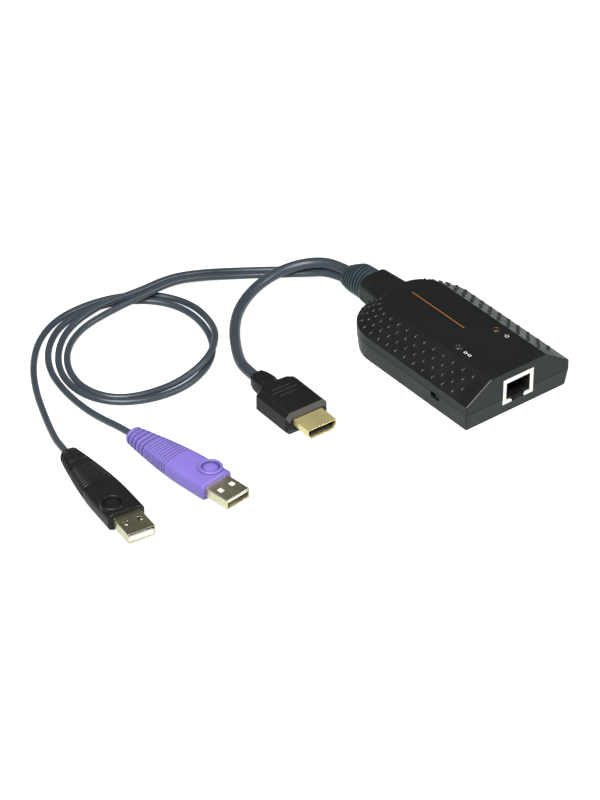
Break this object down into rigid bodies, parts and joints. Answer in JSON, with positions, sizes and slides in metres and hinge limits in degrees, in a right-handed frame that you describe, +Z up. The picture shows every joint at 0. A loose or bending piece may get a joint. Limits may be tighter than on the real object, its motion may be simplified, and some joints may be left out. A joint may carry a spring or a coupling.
{
  "type": "keyboard video and mouse adapter lead",
  "caption": "Switch adapter with a network jack in a small studded housing, a ribbed strain relief, a video plug cord and two keyboard plug cords.",
  "frame": {"origin": "middle of the housing's footprint on the table, housing taken with its cable neck", "axes": "+Z up, -Y the way the network jack faces, +Y towards the cable neck, +X to the right seen from behind the jack's mouth"},
  "size_m": [0.2042, 0.1665, 0.02],
  "materials": {
    "housing": "fine spark texture, near black",
    "screw_steel": "zinc plated",
    "board_green": "solder mask",
    "jack_ivory": "moulded ivory",
    "insert_black": "moulded black",
    "gold_contacts": "gold plated",
    "chip_black": "epoxy",
    "crystal_can": "nickel can",
    "header_white": "moulded nylon",
    "capacitor_can": "bright can",
    "small_part_ceramic": "fired ceramic",
    "lamp_body": "diffuse white",
    "clear_window": "frosted clear",
    "amber_window": "frosted amber",
    "switch_steel": "tinned steel",
    "switch_knob": "moulded black",
    "boot_slate": "satin slate",
    "lead_jacket": "satin",
    "cord_jacket": "satin slate black",
    "grip_slate": "satin slate",
    "grip_violet": "satin violet",
    "nickel_shell": "nickel plated",
    "gold_shell": "flash gold plated",
    "tongue_pale": "moulded pale"
  },
  "bodies": {
    "adapter": {"upper_case": "housing", "lower_case": "housing", "case_screws": "screw_steel", "main_board": "board_green", "network_jack_body": "jack_ivory", "network_jack_insert": "insert_black", "network_jack_contacts": "gold_contacts", "network_transformer": "chip_black", "main_processor": "chip_black", "video_chip": "chip_black", "clock_crystal": "crystal_can", "video_header": "header_white", "usb_header_black": "header_white", "usb_header_violet": "header_white", "capacitors": "capacitor_can", "small_parts": "small_part_ceramic", "link_lamp": "lamp_body", "power_lamp": "lamp_body", "link_light_window": "clear_window", "power_light_window": "amber_window", "recovery_switch_body": "switch_steel", "strain_relief_boot": "boot_slate", "inner_leads": "lead_jacket", "video_cord": "cord_jacket", "black_cord": "cord_jacket", "violet_cord": "cord_jacket", "video_plug_grip": "grip_slate", "video_plug_shell": "gold_shell", "video_plug_insulator": "insert_black", "video_plug_contacts": "gold_contacts", "black_plug_grip": "grip_slate", "black_plug_shell": "nickel_shell", "black_plug_tongue": "tongue_pale", "black_plug_contacts": "gold_contacts", "violet_plug_grip": "grip_violet", "violet_plug_shell": "nickel_shell", "violet_plug_tongue": "insert_black", "violet_plug_contacts": "gold_contacts"},
    "recovery_knob": {"recovery_switch_slider": "switch_knob"}
  },
  "joints": [
    {"name": "recovery_switch_slide", "type": "slide", "parent": "adapter", "child": "recovery_knob", "axis": [0, 1, 0], "range_m": [0, 0.002]}
  ]
}
